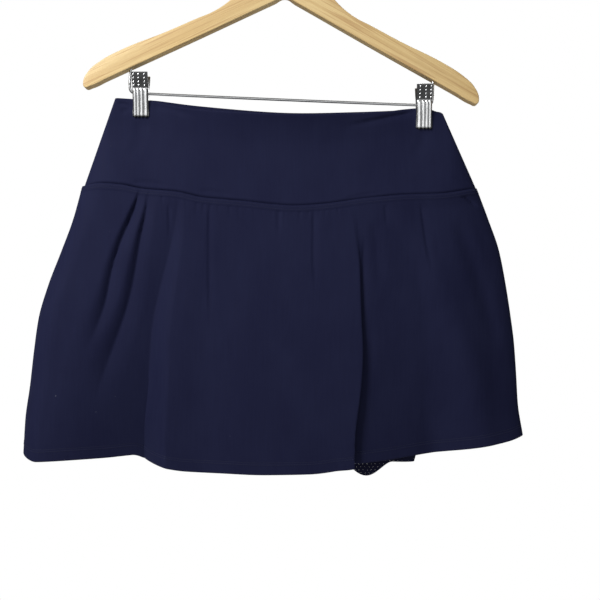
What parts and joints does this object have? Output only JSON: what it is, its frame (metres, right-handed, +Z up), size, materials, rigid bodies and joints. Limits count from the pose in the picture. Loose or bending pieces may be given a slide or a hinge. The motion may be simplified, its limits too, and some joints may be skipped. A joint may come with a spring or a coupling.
{
  "type": "tennis skort on a clip hanger",
  "caption": "Short flared sports skirt with a built-in mesh short and a shaped waistband, hung by its waist from a wooden hanger with sprung clips.",
  "frame": {"origin": "the point inside the top of the hanger's hook where a rail carries it", "axes": "+Z up; the skort's front faces -Y; +X is to the right of someone who looks at that front"},
  "size_m": [0.5605, 0.065, 0.6428],
  "materials": {
    "navy_jersey": "matt fine-knit navy jersey",
    "navy_mesh": "navy knit with small round holes",
    "pale_wood": "clear-lacquered pale wood",
    "chromed_steel": "bright plated steel"
  },
  "bodies": {
    "root": {"waistband_front": "navy_jersey", "waistband_back": "navy_jersey", "skirt_front": "navy_jersey", "skirt_back": "navy_jersey", "short_leg_right": "navy_mesh", "short_leg_left": "navy_mesh", "hanger_wood": "pale_wood", "hanger_hook": "chromed_steel", "hanger_bar": "chromed_steel", "clip_right_front_lever": "chromed_steel", "clip_right_back_lever": "chromed_steel", "clip_right_spring": "chromed_steel", "clip_left_front_lever": "chromed_steel", "clip_left_back_lever": "chromed_steel", "clip_left_spring": "chromed_steel"}
  },
  "joints": []
}
